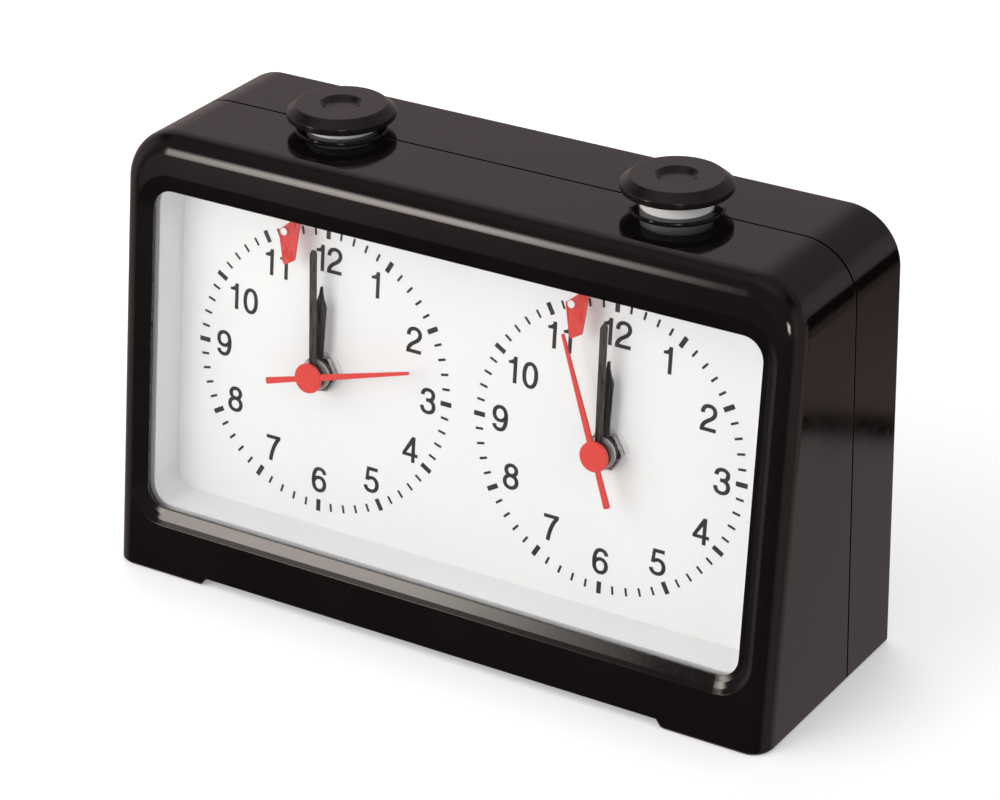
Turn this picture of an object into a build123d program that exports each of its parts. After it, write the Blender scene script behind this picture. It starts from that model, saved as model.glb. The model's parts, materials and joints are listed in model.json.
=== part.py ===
from build123d import *
import math
import os

# Analogue chess clock: two quartz clocks in one two-part moulded case.
# Frame: millimetres, +Z up, +X to the right clock, the dials face -Y and lean back.
# Origin: centre of the rectangle the case covers on the table, on the table.

# ---- driving dimensions -------------------------------------------------
case_w = 150.8            # width over the sides
case_h = 92.6             # height of the case top above the table
front_y, back_y = -26.2, 26.8         # front and back at the table
front_lean = 6.4          # the front leans back by this many degrees
back_run = 2.1            # the back leans forward by this much over the height
wall = 2.2                # shell thickness
front_wall = 4.0          # the front wall is thicker, to hold the window
top_corner_r = 11.0       # big radius of the two upper corners
front_edge_r = 4.3        # rounding round the front
back_edge_r = 1.2
foot_h = 1.9              # the underside is raised by this between the feet
foot_in = 54.0            # inner end of each foot, from the middle
seam_y_base, seam_y_top = 8.4, 5.6   # parting line between the two case halves
seam_gap = 0.5            # visible groove along the parting line

clock_dx = 32.6           # each dial centre, left and right of the middle
clock_y, clock_z = -10.6, 47.4       # dial centre
front_n = 10.2            # front face, in front of the dial
win_n = 9.2               # edge of the window opening, in front of the dial
win_x, win_top, win_bot, win_r = 68.2, 32.8, 34.8, 4.5
bezel_run = 3.4           # width of the shallow slope round the window
lens_t, lens_n = 1.5, 7.1            # window thickness, and its back face
tray_x, tray_top, tray_bot, tray_r = 67.4, 33.4, 33.2, 4.2
tray_t = 1.2
tray_flare = 0.8, 1.6      # the walls lean outwards by this at the sides and at the bottom

button_x, button_y = 37.7, 5.5
button_travel = 1.2
button_h_left, button_h_right = 3.8, 5.0   # widest rim of each cap above the case top
cap_r, cap_top_r, dimple_r = 10.8, 8.95, 4.25
stem_r = 7.0
collar_r, collar_h = 9.2, 0.45          # low collar round each stem on the case top
rocker_z = 74.5           # rocker pivot height

knob_at = (0.0, 12.0)               # setting knob, above each arbor
knob_pocket_r = 8.6
battery_y, battery_z = 15.5, 12.7
battery_r, battery_l = 7.1, 49.2
door_x, door_z0, door_z1 = 27.5, 5.3, 21.0
post_at = [(-11.0, 38.0), (11.0, 38.0), (-11.0, 58.0), (11.0, 58.0)]
case_screw_at = [(-63.0, 9.0), (63.0, 9.0), (-60.0, 85.7), (60.0, 85.7)]
tray_screw_at = [(-46.0, 37.9), (46.0, 37.9), (-46.0, -39.6), (46.0, -39.6)]

hour_len, minute_len, second_len, second_tail = 18.4, 26.0, 24.2, 10.3
second_angle = {"left": 74.0, "right": -20.3}   # clockwise from twelve, in degrees
hour_angle = {"left": 1.2, "right": 0.6}
minute_angle = {"left": -2.0, "right": -1.2}
flag_pivot = (-7.3, 28.7)

os.makedirs("parts", exist_ok=True)

# ---- frames -------------------------------------------------------------
A = math.radians(front_lean)
N = Vector(0, -math.cos(A), math.sin(A))      # out of the dial, towards the player
U = Vector(0, math.sin(A), math.cos(A))       # up the dial
B = math.atan2(back_run, case_h)
NB = Vector(0, math.cos(B), math.sin(B))      # out of the back
SIDES = (("left", -1), ("right", 1))
y_f, y_b = front_y, back_y


def dial(n=0.0, dx=0.0, dw=0.0):
    """Plane parallel to the dials, n in front of them; its x is the clock's +X and its y runs up the dial."""
    return Plane(
        origin=Vector(dx, clock_y, clock_z) + N * n + U * dw, x_dir=(1, 0, 0), z_dir=N
    )


def clock(sx, n=0.0, at=(0.0, 0.0)):
    """The same plane, centred on one clock's arbor or on a point of its movement."""
    return dial(n, sx * clock_dx + at[0], at[1])


def rounded(x, top, bottom, r):
    """Rounded rectangle from -x to x and from -bottom to top, about the sketch's origin."""
    with Locations((0, (top - bottom) / 2)):
        RectangleRounded(2 * x, top + bottom, r)


def gear(teeth, module, phase, tip=0.85, root=1.15):
    """Corner points of a spur gear with straight-flanked teeth and generous backlash."""
    r = teeth * module / 2
    pitch = 360.0 / teeth
    pts = []
    for i in range(teeth):
        mid = phase + i * pitch
        for part, radius in ((-0.27, r - root * module), (-0.10, r + tip * module),
                             (0.10, r + tip * module), (0.27, r - root * module)):
            a = math.radians(mid + part * pitch)
            pts.append((radius * math.cos(a), radius * math.sin(a)))
    return pts


def save(part, name):
    part.label = name
    export_step(part, f"parts/{name}.step")


# ---- case ---------------------------------------------------------------
tan_a = math.tan(A)
outer_profile = [
    (y_f, 0), (y_b, 0), (y_b - back_run, case_h), (y_f + case_h * tan_a, case_h)
]
fi = front_wall / math.cos(A)
bi = wall / math.cos(B)
z0, z1 = foot_h + wall, case_h - wall
inner_profile = [
    (y_f + fi + z0 * tan_a, z0),
    (y_b - bi - z0 * back_run / case_h, z0),
    (y_b - bi - z1 * back_run / case_h, z1),
    (y_f + fi + z1 * tan_a, z1),
]

with BuildPart() as outer:
    with BuildSketch(Plane.YZ):
        Polygon(*outer_profile, align=None)
    extrude(amount=case_w / 2, both=True)
    fillet(outer.edges().filter_by(Axis.Y).group_by(Axis.Z)[-1], top_corner_r)
    front_face = outer.faces().sort_by(Axis.Y)[0]
    fillet(front_face.edges().sort_by(Axis.Z)[1:], front_edge_r)
    back_face = outer.faces().sort_by(Axis.Y)[-1]
    fillet(back_face.edges().sort_by(Axis.Z)[1:], back_edge_r)
    chamfer(outer.faces().sort_by(Axis.Z)[0].edges(), 0.6)
    # the underside is raised between the feet
    with BuildSketch(Plane.XZ.offset(-60)):
        Polygon((-foot_in - 0.6, -1), (-foot_in, 0), (-foot_in + 1.6, foot_h),
                (foot_in - 1.6, foot_h), (foot_in, 0), (foot_in + 0.6, -1), align=None)
    extrude(amount=120, mode=Mode.SUBTRACT)
    # slightly hollow slope round the window, in four steps
    slope = [(3.4, -0.3), (3.4, 0.0), (2.4, 0.42), (1.2, 0.78), (0.0, 1.0)]
    for (o0, d0), (o1, d1) in zip(slope, slope[1:]):
        with BuildSketch(dial(front_n - d0)):
            rounded(win_x + o0, win_top + o0, win_bot + o0, win_r + o0)
        with BuildSketch(dial(front_n - d1)):
            rounded(win_x + o1, win_top + o1, win_bot + o1, win_r + o1)
        loft(mode=Mode.SUBTRACT)
    with BuildSketch(dial(win_n + 0.2)):
        rounded(win_x, win_top, win_bot, win_r)
    extrude(amount=-6.0, mode=Mode.SUBTRACT)
    # seat of the window, from behind
    with BuildSketch(dial(lens_n + lens_t)):
        rounded(win_x + 1.7, win_top + 2.1, win_bot + 1.7, win_r + 1.5)
    extrude(amount=-6.0, mode=Mode.SUBTRACT)
    # low round collar and hole under each button
    with BuildSketch(Plane.XY.offset(case_h - 0.5)):
        with Locations((-button_x, button_y), (button_x, button_y)):
            Circle(collar_r)
    extrude(amount=0.5 + collar_h)
    fillet(
        outer.edges().filter_by(GeomType.CIRCLE).filter_by(
            lambda e: abs(e.radius - collar_r) < 0.01 and e.center().Z > case_h + collar_h - 0.01
        ),
        0.25,
    )
    with BuildSketch(Plane.XY.offset(case_h - 4)):
        with Locations((-button_x, button_y), (button_x, button_y)):
            Circle(stem_r + 0.25)
    extrude(amount=6, mode=Mode.SUBTRACT)

seam_lean = math.atan2(seam_y_base - seam_y_top, case_h)
SN = Vector(0, math.cos(seam_lean), math.sin(seam_lean))
seam_plane = Plane(origin=(0, seam_y_base, 0), x_dir=(1, 0, 0), z_dir=SN * -1)


# The hollow of the front half: everything but its bosses and tray posts.
with BuildPart() as front_hollow:
    with BuildSketch(Plane.YZ):
        Polygon(*inner_profile, align=None)
    extrude(amount=case_w / 2 - wall, both=True)
    fillet(front_hollow.edges().filter_by(Axis.Y).group_by(Axis.Z)[-1], top_corner_r - wall)
    for x, z in case_screw_at:
        with BuildSketch(Plane.XZ.offset(30)):
            with Locations((x, z)):
                Circle(3.0)
                Circle(1.45, mode=Mode.SUBTRACT)
        extrude(amount=-50, mode=Mode.SUBTRACT)
    with BuildSketch(dial(front_n)):
        with Locations(*tray_screw_at):
            Circle(2.7)
            Circle(1.15, mode=Mode.SUBTRACT)
    extrude(amount=-front_n, mode=Mode.SUBTRACT)

# The hollow of the rear half: it leaves the screw tubes, the rocker boss and the
# cups of the two setting knobs standing.
with BuildPart() as rear_hollow:
    with BuildSketch(Plane.YZ):
        Polygon(*inner_profile, align=None)
    extrude(amount=case_w / 2 - wall, both=True)
    fillet(rear_hollow.edges().filter_by(Axis.Y).group_by(Axis.Z)[-1], top_corner_r - wall)
    with BuildSketch(Plane.XZ.offset(-6.0)):
        with Locations(*case_screw_at):
            Circle(4.2)
    extrude(amount=-30, mode=Mode.SUBTRACT)
    with BuildSketch(Plane.XZ.offset(-9.9)):
        with Locations((0, rocker_z)):
            Circle(3.6)
    extrude(amount=-30, mode=Mode.SUBTRACT)
    for name, sx in SIDES:
        with BuildSketch(clock(sx, -28.6, knob_at)):
            Circle(knob_pocket_r + 1.4)
        extrude(amount=-10, mode=Mode.SUBTRACT)

half = case_w
with BuildPart() as front_case:
    add(outer.part)
    with BuildSketch(seam_plane.offset(seam_gap / 2)):
        Rectangle(4 * half, 4 * half)
    extrude(amount=-half, mode=Mode.SUBTRACT)
    add(front_hollow.part, mode=Mode.SUBTRACT)
save(front_case.part, "front_case")

with BuildPart() as rear_case:
    add(outer.part)
    with BuildSketch(seam_plane.offset(-seam_gap / 2)):
        Rectangle(4 * half, 4 * half)
    extrude(amount=half, mode=Mode.SUBTRACT)
    add(rear_hollow.part, mode=Mode.SUBTRACT)
    # lip that reaches into the front half and closes the groove from inside
    for grow, from_n, length in ((0.3, -seam_gap / 2 - 1.2, 1.2), (-0.15, -seam_gap / 2, 3.0)):
        with BuildSketch(seam_plane.offset(from_n)):
            with Locations((0, (z0 + z1) / 2)):
                RectangleRounded(case_w - 2 * wall + 2 * grow, z1 - z0 + 2 * grow, 1.0)
                RectangleRounded(case_w - 2 * wall - 2.7, z1 - z0 - 2.7, 1.0, mode=Mode.SUBTRACT)
            with Locations((-half / 2, z1), (half / 2, z1)):
                Rectangle(2 * top_corner_r, 2 * top_corner_r, mode=Mode.SUBTRACT)
            with Locations((-button_x, z1), (button_x, z1)):
                Rectangle(24, 8, mode=Mode.SUBTRACT)
            with Locations((0, z0)):
                Rectangle(62, 8, mode=Mode.SUBTRACT)
        extrude(amount=length)
    # screw tubes: counterbore from the back and a clearance hole
    with BuildSketch(Plane.XZ.offset(-15.0)):
        with Locations(*case_screw_at):
            Circle(2.9)
    extrude(amount=-15, mode=Mode.SUBTRACT)
    with BuildSketch(Plane.XZ):
        with Locations(*case_screw_at):
            Circle(1.6)
    extrude(amount=-20, mode=Mode.SUBTRACT)
    # rocker pin hole
    with BuildSketch(Plane.XZ.offset(-9.0)):
        with Locations((0, rocker_z)):
            Circle(1.5)
    extrude(amount=-9.0, mode=Mode.SUBTRACT)
    # pocket and shaft hole of each setting knob
    for name, sx in SIDES:
        with BuildSketch(clock(sx, -30.2, knob_at)):
            Circle(knob_pocket_r)
        extrude(amount=-10, mode=Mode.SUBTRACT)
        with BuildSketch(clock(sx, -27, knob_at)):
            Circle(1.2)
        extrude(amount=-6, mode=Mode.SUBTRACT)
    # battery opening
    with BuildSketch(Plane.XZ.offset(-20.0)):
        with Locations((0, (door_z0 + door_z1) / 2)):
            Rectangle(2 * door_x, door_z1 - door_z0)
    extrude(amount=-10, mode=Mode.SUBTRACT)
    # posts that carry the circuit board, with nubs through its holes
    with BuildSketch(Plane.XZ.offset(-4.4)):
        with Locations(*post_at):
            Circle(2.4)
    extrude(amount=-20.4)
    with BuildSketch(Plane.XZ.offset(-4.4)):
        with Locations(*post_at):
            Circle(1.1)
    extrude(amount=2.0)
    # battery box: roof, front wall and two ends, open at the back
    with BuildSketch(Plane.XY.offset(battery_z + 8.6)):
        with Locations((0, 15.8)):
            Rectangle(58.4, 18.6)
    extrude(amount=1.3)
    with BuildSketch(Plane.XY.offset(z0 + 0.2)):
        with Locations((0, 7.1)):
            Rectangle(58.4, 1.2)
        with Locations((-28.5, 15.8), (28.5, 15.8)):
            Rectangle(1.4, 18.6)
    extrude(amount=battery_z + 9.9 - z0 - 0.2)
    with BuildSketch(Plane.XY.offset(z0 - 0.4)):
        with Locations((-28.5, 17.1), (28.5, 17.1)):
            Rectangle(1.4, 16.0)
    extrude(amount=1.0)
save(rear_case.part, "rear_case")

with BuildPart() as window_lens:
    with BuildSketch(dial(lens_n)):
        rounded(win_x + 1.6, win_top + 1.6, win_bot + 1.6, win_r + 1.4)
    extrude(amount=lens_t)
save(window_lens.part, "window_lens")

# White tray: the floor is both dials, the walls close the gap to the window.
with BuildPart() as dial_tray:
    with BuildSketch(dial(-tray_t)):
        rounded(tray_x + tray_t, tray_top + tray_t, tray_bot + tray_t, tray_r + tray_t)
        with Locations(*[(x, w * 0.9) for x, w in tray_screw_at]):
            Rectangle(6.4, 5.2)
        with Locations(*tray_screw_at):
            Circle(3.2)
            Circle(1.15, mode=Mode.SUBTRACT)
        with Locations((-clock_dx, 0), (clock_dx, 0)):
            Circle(2.75, mode=Mode.SUBTRACT)
        with Locations(*[(s * clock_dx + flag_pivot[0], flag_pivot[1]) for s in (-1, 1)]):
            Circle(0.45, mode=Mode.SUBTRACT)
    extrude(amount=tray_t)
    # walls, leaning outwards a little at the sides and bottom
    for grow, mode in ((tray_t, Mode.ADD), (0, Mode.SUBTRACT)):
        with BuildSketch(dial(0)):
            rounded(tray_x + grow, tray_top + grow, tray_bot + grow, tray_r + grow)
        with BuildSketch(dial(lens_n - 0.25)):
            rounded(tray_x + tray_flare[0] + grow, tray_top + grow, tray_bot + tray_flare[1] + grow, tray_r + grow)
        loft(mode=mode)
save(dial_tray.part, "dial_tray")

with BuildPart() as tray_screws:
    with BuildSketch(dial(-tray_t)):
        with Locations(*tray_screw_at):
            Circle(2.1)
            Rectangle(2.6, 0.6, mode=Mode.SUBTRACT)
    extrude(amount=-1.3)
    with BuildSketch(dial(-tray_t - 0.6)):
        with Locations(*tray_screw_at):
            Circle(1.1)
    extrude(amount=6.0)
save(tray_screws.part, "tray_screws")

with BuildPart() as case_screws:
    with BuildSketch(Plane.XZ.offset(-15.0)):
        with Locations(*case_screw_at):
            Circle(2.6)
    extrude(amount=-2.0)
    with BuildSketch(Plane.XZ.offset(6.0)):
        with Locations(*case_screw_at):
            Circle(1.4)
    extrude(amount=-21.2)
    with BuildSketch(Plane.XZ.offset(-17.1)):
        with Locations(*case_screw_at):
            Rectangle(3.4, 0.8)
            Rectangle(0.8, 3.4)
    extrude(amount=1.0, mode=Mode.SUBTRACT)
save(case_screws.part, "case_screws")

# Battery door: tilts out about its rounded lower edge, where two tabs hook behind the wall.
door_plane = Plane(origin=(0, y_b, 0), x_dir=(-1, 0, 0), z_dir=NB)
with BuildPart() as battery_door:
    with BuildSketch(door_plane):
        with Locations((0, (door_z0 + 1.3 + door_z1 - 0.3) / 2)):
            Rectangle(2 * door_x - 0.6, door_z1 - door_z0 - 1.6)
    extrude(amount=-2.0)
    fillet(battery_door.edges().filter_by(Axis(door_plane.origin, NB)).group_by(Axis.Z)[-1], 0.8)
    # rounded lower edge, about which it turns
    hinge = door_plane.origin + Vector(0, -math.sin(B), math.cos(B)) * (door_z0 + 1.3) - NB
    with BuildSketch(Plane.YZ.offset(0.3 - door_x)):
        with Locations((hinge.Y, hinge.Z)):
            Circle(1.0)
    extrude(amount=2 * door_x - 0.6)
    with BuildSketch(door_plane.offset(-0.9)):
        with Locations((0, door_z1 - 2.6)):
            SlotOverall(14, 3.0)
    extrude(amount=2.0, mode=Mode.SUBTRACT)
    with BuildSketch(door_plane):
        with GridLocations(0, 2.2, 1, 3):
            with Locations((0, door_z0 + 6.2)):
                Rectangle(26, 0.7)
    extrude(amount=-0.5, mode=Mode.SUBTRACT)
    with BuildSketch(door_plane.offset(-3.4)):
        with Locations((-17, door_z0 + 0.3), (17, door_z0 + 0.3)):
            Rectangle(6, 2.6)
    extrude(amount=1.0)
    with BuildSketch(door_plane.offset(-2.6)):
        with Locations((-17, door_z0 + 1.0), (17, door_z0 + 1.0)):
            Rectangle(6, 1.2)
    extrude(amount=1.2)
save(battery_door.part, "battery_door")

# ---- battery and contacts -----------------------------------------------
with BuildPart() as battery:
    with BuildSketch(Plane.YZ.offset(-battery_l / 2)):
        with Locations((battery_y, battery_z)):
            Circle(battery_r)
    extrude(amount=battery_l)
    fillet(battery.edges(), 0.7)
    with BuildSketch(Plane.YZ.offset(battery_l / 2)):
        with Locations((battery_y, battery_z)):
            Circle(2.7)
    extrude(amount=1.2)
save(battery.part, "battery")

with BuildPart() as battery_contact_positive:
    with BuildSketch(Plane.YZ.offset(27.4)):
        with Locations((battery_y, battery_z)):
            Rectangle(9, 10)
    extrude(amount=0.4)
    with BuildSketch(Plane.YZ.offset(27.4)):
        with Locations((battery_y, battery_z)):
            Circle(2.2)
    extrude(amount=-(27.4 - battery_l / 2 - 1.3), taper=20)
    with BuildSketch(Plane.YZ.offset(27.4)):
        with Locations((battery_y, battery_z + 6.5)):
            Rectangle(3, 3.2)
    extrude(amount=0.4)
save(battery_contact_positive.part, "battery_contact_positive")

# Negative contact: one strip folded twice into a flat spring.
with BuildPart() as battery_contact_negative:
    with BuildSketch(Plane.XZ.offset(-battery_y + 3)):
        with BuildLine():
            Polyline(
                (-27.8, battery_z - 5), (-27.8, battery_z + 5), (-27.4, battery_z + 5),
                (-27.4, battery_z - 4.2), (-25.1, battery_z + 2.6), (-25.1, battery_z + 3.0),
                (-24.8, battery_z + 3.0), (-24.8, battery_z + 2.4), (-27.3, battery_z - 5),
                close=True,
            )
        make_face()
    extrude(amount=-6)
save(battery_contact_negative.part, "battery_contact_negative")

# ---- circuit board ------------------------------------------------------
with BuildPart() as circuit_board:
    with BuildSketch(Plane.XZ.offset(-4.4)):
        with Locations((0, 48)):
            RectangleRounded(28, 28, 1.5)
        with Locations(*post_at):
            Circle(1.2, mode=Mode.SUBTRACT)
    extrude(amount=1.2)
save(circuit_board.part, "circuit_board")

with BuildPart() as clock_chip:
    with BuildSketch(Plane.XZ.offset(-3.2)):
        with Locations((0, 50)):
            Circle(3.4)
    extrude(amount=1.3)
    fillet(clock_chip.faces().sort_by(Axis.Y)[0].edges(), 0.9)
save(clock_chip.part, "clock_chip")

with BuildPart() as quartz_crystal:
    with BuildSketch(Plane.XY.offset(38.6)):
        with Locations((6.5, 2.1)):
            Circle(1.05)
    extrude(amount=6.0)
    with BuildSketch(Plane.XY.offset(44.6)):
        with Locations((6.1, 2.1), (6.9, 2.1)):
            Circle(0.2)
    extrude(amount=2.2)
save(quartz_crystal.part, "quartz_crystal")

# Two contact blades under the rocker, one for each clock.
with BuildPart() as switch_blades:
    with BuildSketch(Plane.XZ.offset(-3.2)):
        with Locations((-8, 60.5), (8, 60.5)):
            Rectangle(3.0, 5.0)
    extrude(amount=0.3)
    with BuildSketch(Plane.YZ.offset(-9.5)):
        with BuildLine():
            Polyline((2.9, 62.0), (3.2, 62.0), (4.9, 69.3), (7.2, 70.4), (7.2, 70.7),
                     (4.7, 69.7), (2.9, 62.4), close=True)
        make_face()
    extrude(amount=3.0)
    with BuildSketch(Plane.YZ.offset(6.5)):
        with BuildLine():
            Polyline((2.9, 62.0), (3.2, 62.0), (4.9, 69.3), (7.2, 70.4), (7.2, 70.7),
                     (4.7, 69.7), (2.9, 62.4), close=True)
        make_face()
    extrude(amount=3.0)
save(switch_blades.part, "switch_blades")

# ---- buttons and rocker -------------------------------------------------
rocker_tilt = math.asin(button_travel / 2 / button_x)   # right end up at rest
for name, sx in SIDES:
    h = case_h + (button_h_left if sx < 0 else button_h_right)
    x = sx * button_x
    stand = Plane(origin=(x, button_y, 0), x_dir=(1, 0, 0), z_dir=(0, -1, 0))
    axis = Axis((x, button_y, 0), (0, 0, 1))
    with BuildPart() as button_cap:
        with BuildSketch(stand):
            Polygon(
                (0, h + 0.56), (3.1, h + 0.56), (dimple_r, h + 1.46), (cap_top_r, h + 1.46),
                (cap_r, h), (cap_r, h - 1.2), (9.6, h - 1.8), (stem_r, h - 2.0),
                (stem_r, h - 1.0), (0, h - 1.0), align=None,
            )
        revolve(axis=axis)
        rims = button_cap.edges().filter_by(GeomType.CIRCLE)
        fillet(rims.filter_by(lambda e: abs(e.radius - cap_r) < 0.01), 0.3)
        fillet(
            button_cap.edges().filter_by(GeomType.CIRCLE).filter_by(
                lambda e: abs(e.radius - cap_top_r) < 0.01
            ),
            0.5,
        )
        fillet(
            button_cap.edges().filter_by(GeomType.CIRCLE).filter_by(
                lambda e: abs(e.radius - dimple_r) < 0.01 or abs(e.radius - 3.1) < 0.01
            ),
            0.35,
        )
    save(button_cap.part, f"{name}_button_cap")

    # white stem: a cup with a centre post that rests on the rocker
    foot = rocker_z + sx * button_travel / 2 + 2.0 / math.cos(rocker_tilt) + 0.12
    with BuildPart() as button_stem:
        with BuildSketch(stand):
            Polygon(
                (0, h - 1.0), (stem_r, h - 1.0), (stem_r, h - 15.0), (5.6, h - 15.0),
                (5.6, h - 2.4), (2.6, h - 2.4), (2.6, foot + 1.0), (1.2, foot), (0, foot),
                align=None,
            )
        revolve(axis=axis)
    save(button_stem.part, f"{name}_button_stem")

with BuildPart() as button_guides:
    for sx in (-1, 1):
        with BuildSketch(Plane.XY.offset(case_h - wall)):
            with Locations((sx * button_x, button_y)):
                Circle(10.4)
                Circle(stem_r + 0.07, mode=Mode.SUBTRACT)
        extrude(amount=-1.5)
        with BuildSketch(Plane.XY.offset(case_h - wall - 1.5)):
            with Locations((sx * button_x, button_y)):
                Circle(8.5)
                Circle(stem_r + 0.07, mode=Mode.SUBTRACT)
        extrude(amount=-6.5)
save(button_guides.part, "button_guides")

rocker_frame = Plane(
    origin=(0, button_y, rocker_z),
    x_dir=(math.cos(rocker_tilt), 0, math.sin(rocker_tilt)),
    z_dir=(0, -1, 0),
)
with BuildPart() as rocker_lever:
    with BuildSketch(rocker_frame.offset(-4.0)):
        with Locations((0, 0)):
            RectangleRounded(2 * button_x + 7, 4.0, 1.2)
        Circle(4.6)
        with Locations((-8, -2.4), (8, -2.4)):
            RectangleRounded(3.0, 2.0, 0.7)
        Circle(1.56, mode=Mode.SUBTRACT)
    extrude(amount=8.0)
save(rocker_lever.part, "rocker_lever")

with BuildPart() as rocker_pivot_pin:
    with BuildSketch(Plane.XZ.offset(-18.0)):
        with Locations((0, rocker_z)):
            Circle(1.5)
    extrude(amount=17.6)
    with BuildSketch(Plane.XZ.offset(-1.25)):
        with Locations((0, rocker_z)):
            Circle(1.9)
            Circle(1.1, mode=Mode.SUBTRACT)
    extrude(amount=0.5, mode=Mode.SUBTRACT)
save(rocker_pivot_pin.part, "rocker_pivot_pin")

with BuildPart() as rocker_clip:
    with BuildSketch(Plane.XZ.offset(-1.2)):
        with Locations((0, rocker_z)):
            Circle(3.0)
            Circle(1.12, mode=Mode.SUBTRACT)
        with Locations((0, rocker_z - 2.0)):
            Rectangle(1.6, 4.0, mode=Mode.SUBTRACT)
    extrude(amount=0.4)
save(rocker_clip.part, "rocker_clip")

# ---- hardware at the dials ----------------------------------------------
with BuildPart() as bush_washers:
    for sx in (-1, 1):
        with BuildSketch(clock(sx, 0)):
            Circle(4.45)
            Circle(2.75, mode=Mode.SUBTRACT)
        extrude(amount=0.35)
save(bush_washers.part, "bush_washers")

with BuildPart() as bush_nuts:
    for sx in (-1, 1):
        with BuildSketch(clock(sx, 0.35)):
            RegularPolygon(3.95, 6)
            Circle(2.7, mode=Mode.SUBTRACT)
        extrude(amount=1.4)
save(bush_nuts.part, "bush_nuts")

with BuildPart() as flag_pins:
    for sx in (-1, 1):
        with BuildSketch(clock(sx, -tray_t, flag_pivot)):
            Circle(0.45)
        extrude(amount=tray_t + 4.9)
        with BuildSketch(clock(sx, 0, flag_pivot)):
            Circle(0.95)
        extrude(amount=4.05)
        with BuildSketch(clock(sx, 4.62, flag_pivot)):
            Circle(0.75)
        extrude(amount=0.28)
save(flag_pins.part, "flag_pins")

# ---- the two movements --------------------------------------------------
M_AT, K_AT, T_AT, F_AT = (0.0, 6.0), knob_at, (0.0, -8.5), (6.0, 0.0)
R_AT = (6.0 + 5.6 * math.cos(math.radians(-45)), 5.6 * math.sin(math.radians(-45)))
BOX = (-10.0, 16.4, -17.8, 17.2)     # movement case, x and up the dial
for name, sx in SIDES:

    def box_sketch(inset, r):
        """Rounded outline of the movement case, smaller by inset, in the sketch being drawn."""
        with Locations(((BOX[0] + BOX[1]) / 2, (BOX[2] + BOX[3]) / 2)):
            RectangleRounded(BOX[1] - BOX[0] - 2 * inset, BOX[3] - BOX[2] - 2 * inset, r)

    with BuildPart() as movement_base:
        with BuildSketch(clock(sx, -2.4)):
            box_sketch(0, 2.0)
            Circle(1.98, mode=Mode.SUBTRACT)
        extrude(amount=1.2)
        with BuildSketch(clock(sx, -1.2)):
            Circle(2.7)
            Circle(1.98, mode=Mode.SUBTRACT)
        extrude(amount=3.1)
        with BuildSketch(clock(sx, -2.4, M_AT)):
            Circle(0.5)
        extrude(amount=-2.6)
        for at, r in ((K_AT, 0.56), (T_AT, 0.46)):
            with BuildSketch(clock(sx, -2.4, at)):
                Circle(r)
            extrude(amount=0.6, mode=Mode.SUBTRACT)
    save(movement_base.part, f"{name}_movement_base")

    with BuildPart() as gear_plate:
        with BuildSketch(clock(sx, -6.8)):
            box_sketch(1.15, 1.2)
            Circle(0.56, mode=Mode.SUBTRACT)
            for at, r in ((K_AT, 1.4), (T_AT, 0.9), (F_AT, 0.41), (R_AT, 0.41)):
                with Locations(at):
                    Circle(r, mode=Mode.SUBTRACT)
        extrude(amount=0.6)
    save(gear_plate.part, f"{name}_gear_plate")

    with BuildPart() as movement_cover:
        with BuildSketch(clock(sx, -15.6)):
            box_sketch(0, 2.0)
        extrude(amount=13.2)
        with BuildSketch(clock(sx, -14.4)):
            box_sketch(1.05, 1.2)
        extrude(amount=12.0, mode=Mode.SUBTRACT)
        for at, r in (((0, 0), 0.56), (T_AT, 0.46), (F_AT, 0.41), (R_AT, 0.41)):
            with BuildSketch(clock(sx, -15.1, at)):
                Circle(r)
            extrude(amount=1.0, mode=Mode.SUBTRACT)
        with BuildSketch(clock(sx, -16, K_AT)):
            Circle(1.17)
        extrude(amount=2.0, mode=Mode.SUBTRACT)
    save(movement_cover.part, f"{name}_movement_cover")

    # stepping motor
    with BuildPart() as motor_coil:
        with BuildSketch(Plane(origin=clock(sx, -11.7, (12.5, 5.2)).origin, x_dir=(1, 0, 0), z_dir=U)):
            Circle(2.3)
            Rectangle(1.5, 1.1, mode=Mode.SUBTRACT)
        extrude(amount=9.0)
    save(motor_coil.part, f"{name}_motor_coil")

    with BuildPart() as motor_stator:
        with BuildSketch(clock(sx, -12.1)):
            with Locations((12.5, 7.0)):
                Rectangle(1.3, 18.0)
            with Locations((10.2, 15.2)):
                Rectangle(5.8, 1.6)
            with Locations((8.0, 6.8)):
                Rectangle(1.4, 18.4)
            with Locations(R_AT):
                Circle(3.9)
            with Locations(R_AT):
                Circle(2.35, mode=Mode.SUBTRACT)
        extrude(amount=0.8)
    save(motor_stator.part, f"{name}_motor_stator")

    with BuildPart() as motor_rotor:
        with BuildSketch(clock(sx, -15.0, R_AT)):
            Circle(0.35)
        extrude(amount=8.7)
        with BuildSketch(clock(sx, -12.5, R_AT)):
            Circle(2.0)
        extrude(amount=1.6)
        with BuildSketch(clock(sx, -10.6, R_AT)):
            Polygon(*gear(8, 0.2, 135), align=None)
        extrude(amount=1.0)
    save(motor_rotor.part, f"{name}_motor_rotor")

    # wheel train
    with BuildPart() as fifth_wheel:
        with BuildSketch(clock(sx, -15.0, F_AT)):
            Circle(0.35)
        extrude(amount=8.7)
        with BuildSketch(clock(sx, -10.4, F_AT)):
            Polygon(*gear(48, 0.2, -45 + 3.75), align=None)
        extrude(amount=0.7)
        with BuildSketch(clock(sx, -9.8, F_AT)):
            Polygon(*gear(8, 0.25, 180), align=None)
        extrude(amount=1.5)
    save(fifth_wheel.part, f"{name}_fifth_wheel")

    with BuildPart() as second_wheel:
        with BuildSketch(clock(sx, -15.0)):
            Circle(0.5)
        extrude(amount=20.1)
        with BuildSketch(clock(sx, -9.1)):
            Polygon(*gear(40, 0.25, 4.5), align=None)
        extrude(amount=0.7)
        with BuildSketch(clock(sx, -8.5)):
            Polygon(*gear(8, 0.25, 270), align=None)
        extrude(amount=1.5)
    save(second_wheel.part, f"{name}_second_wheel")

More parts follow.
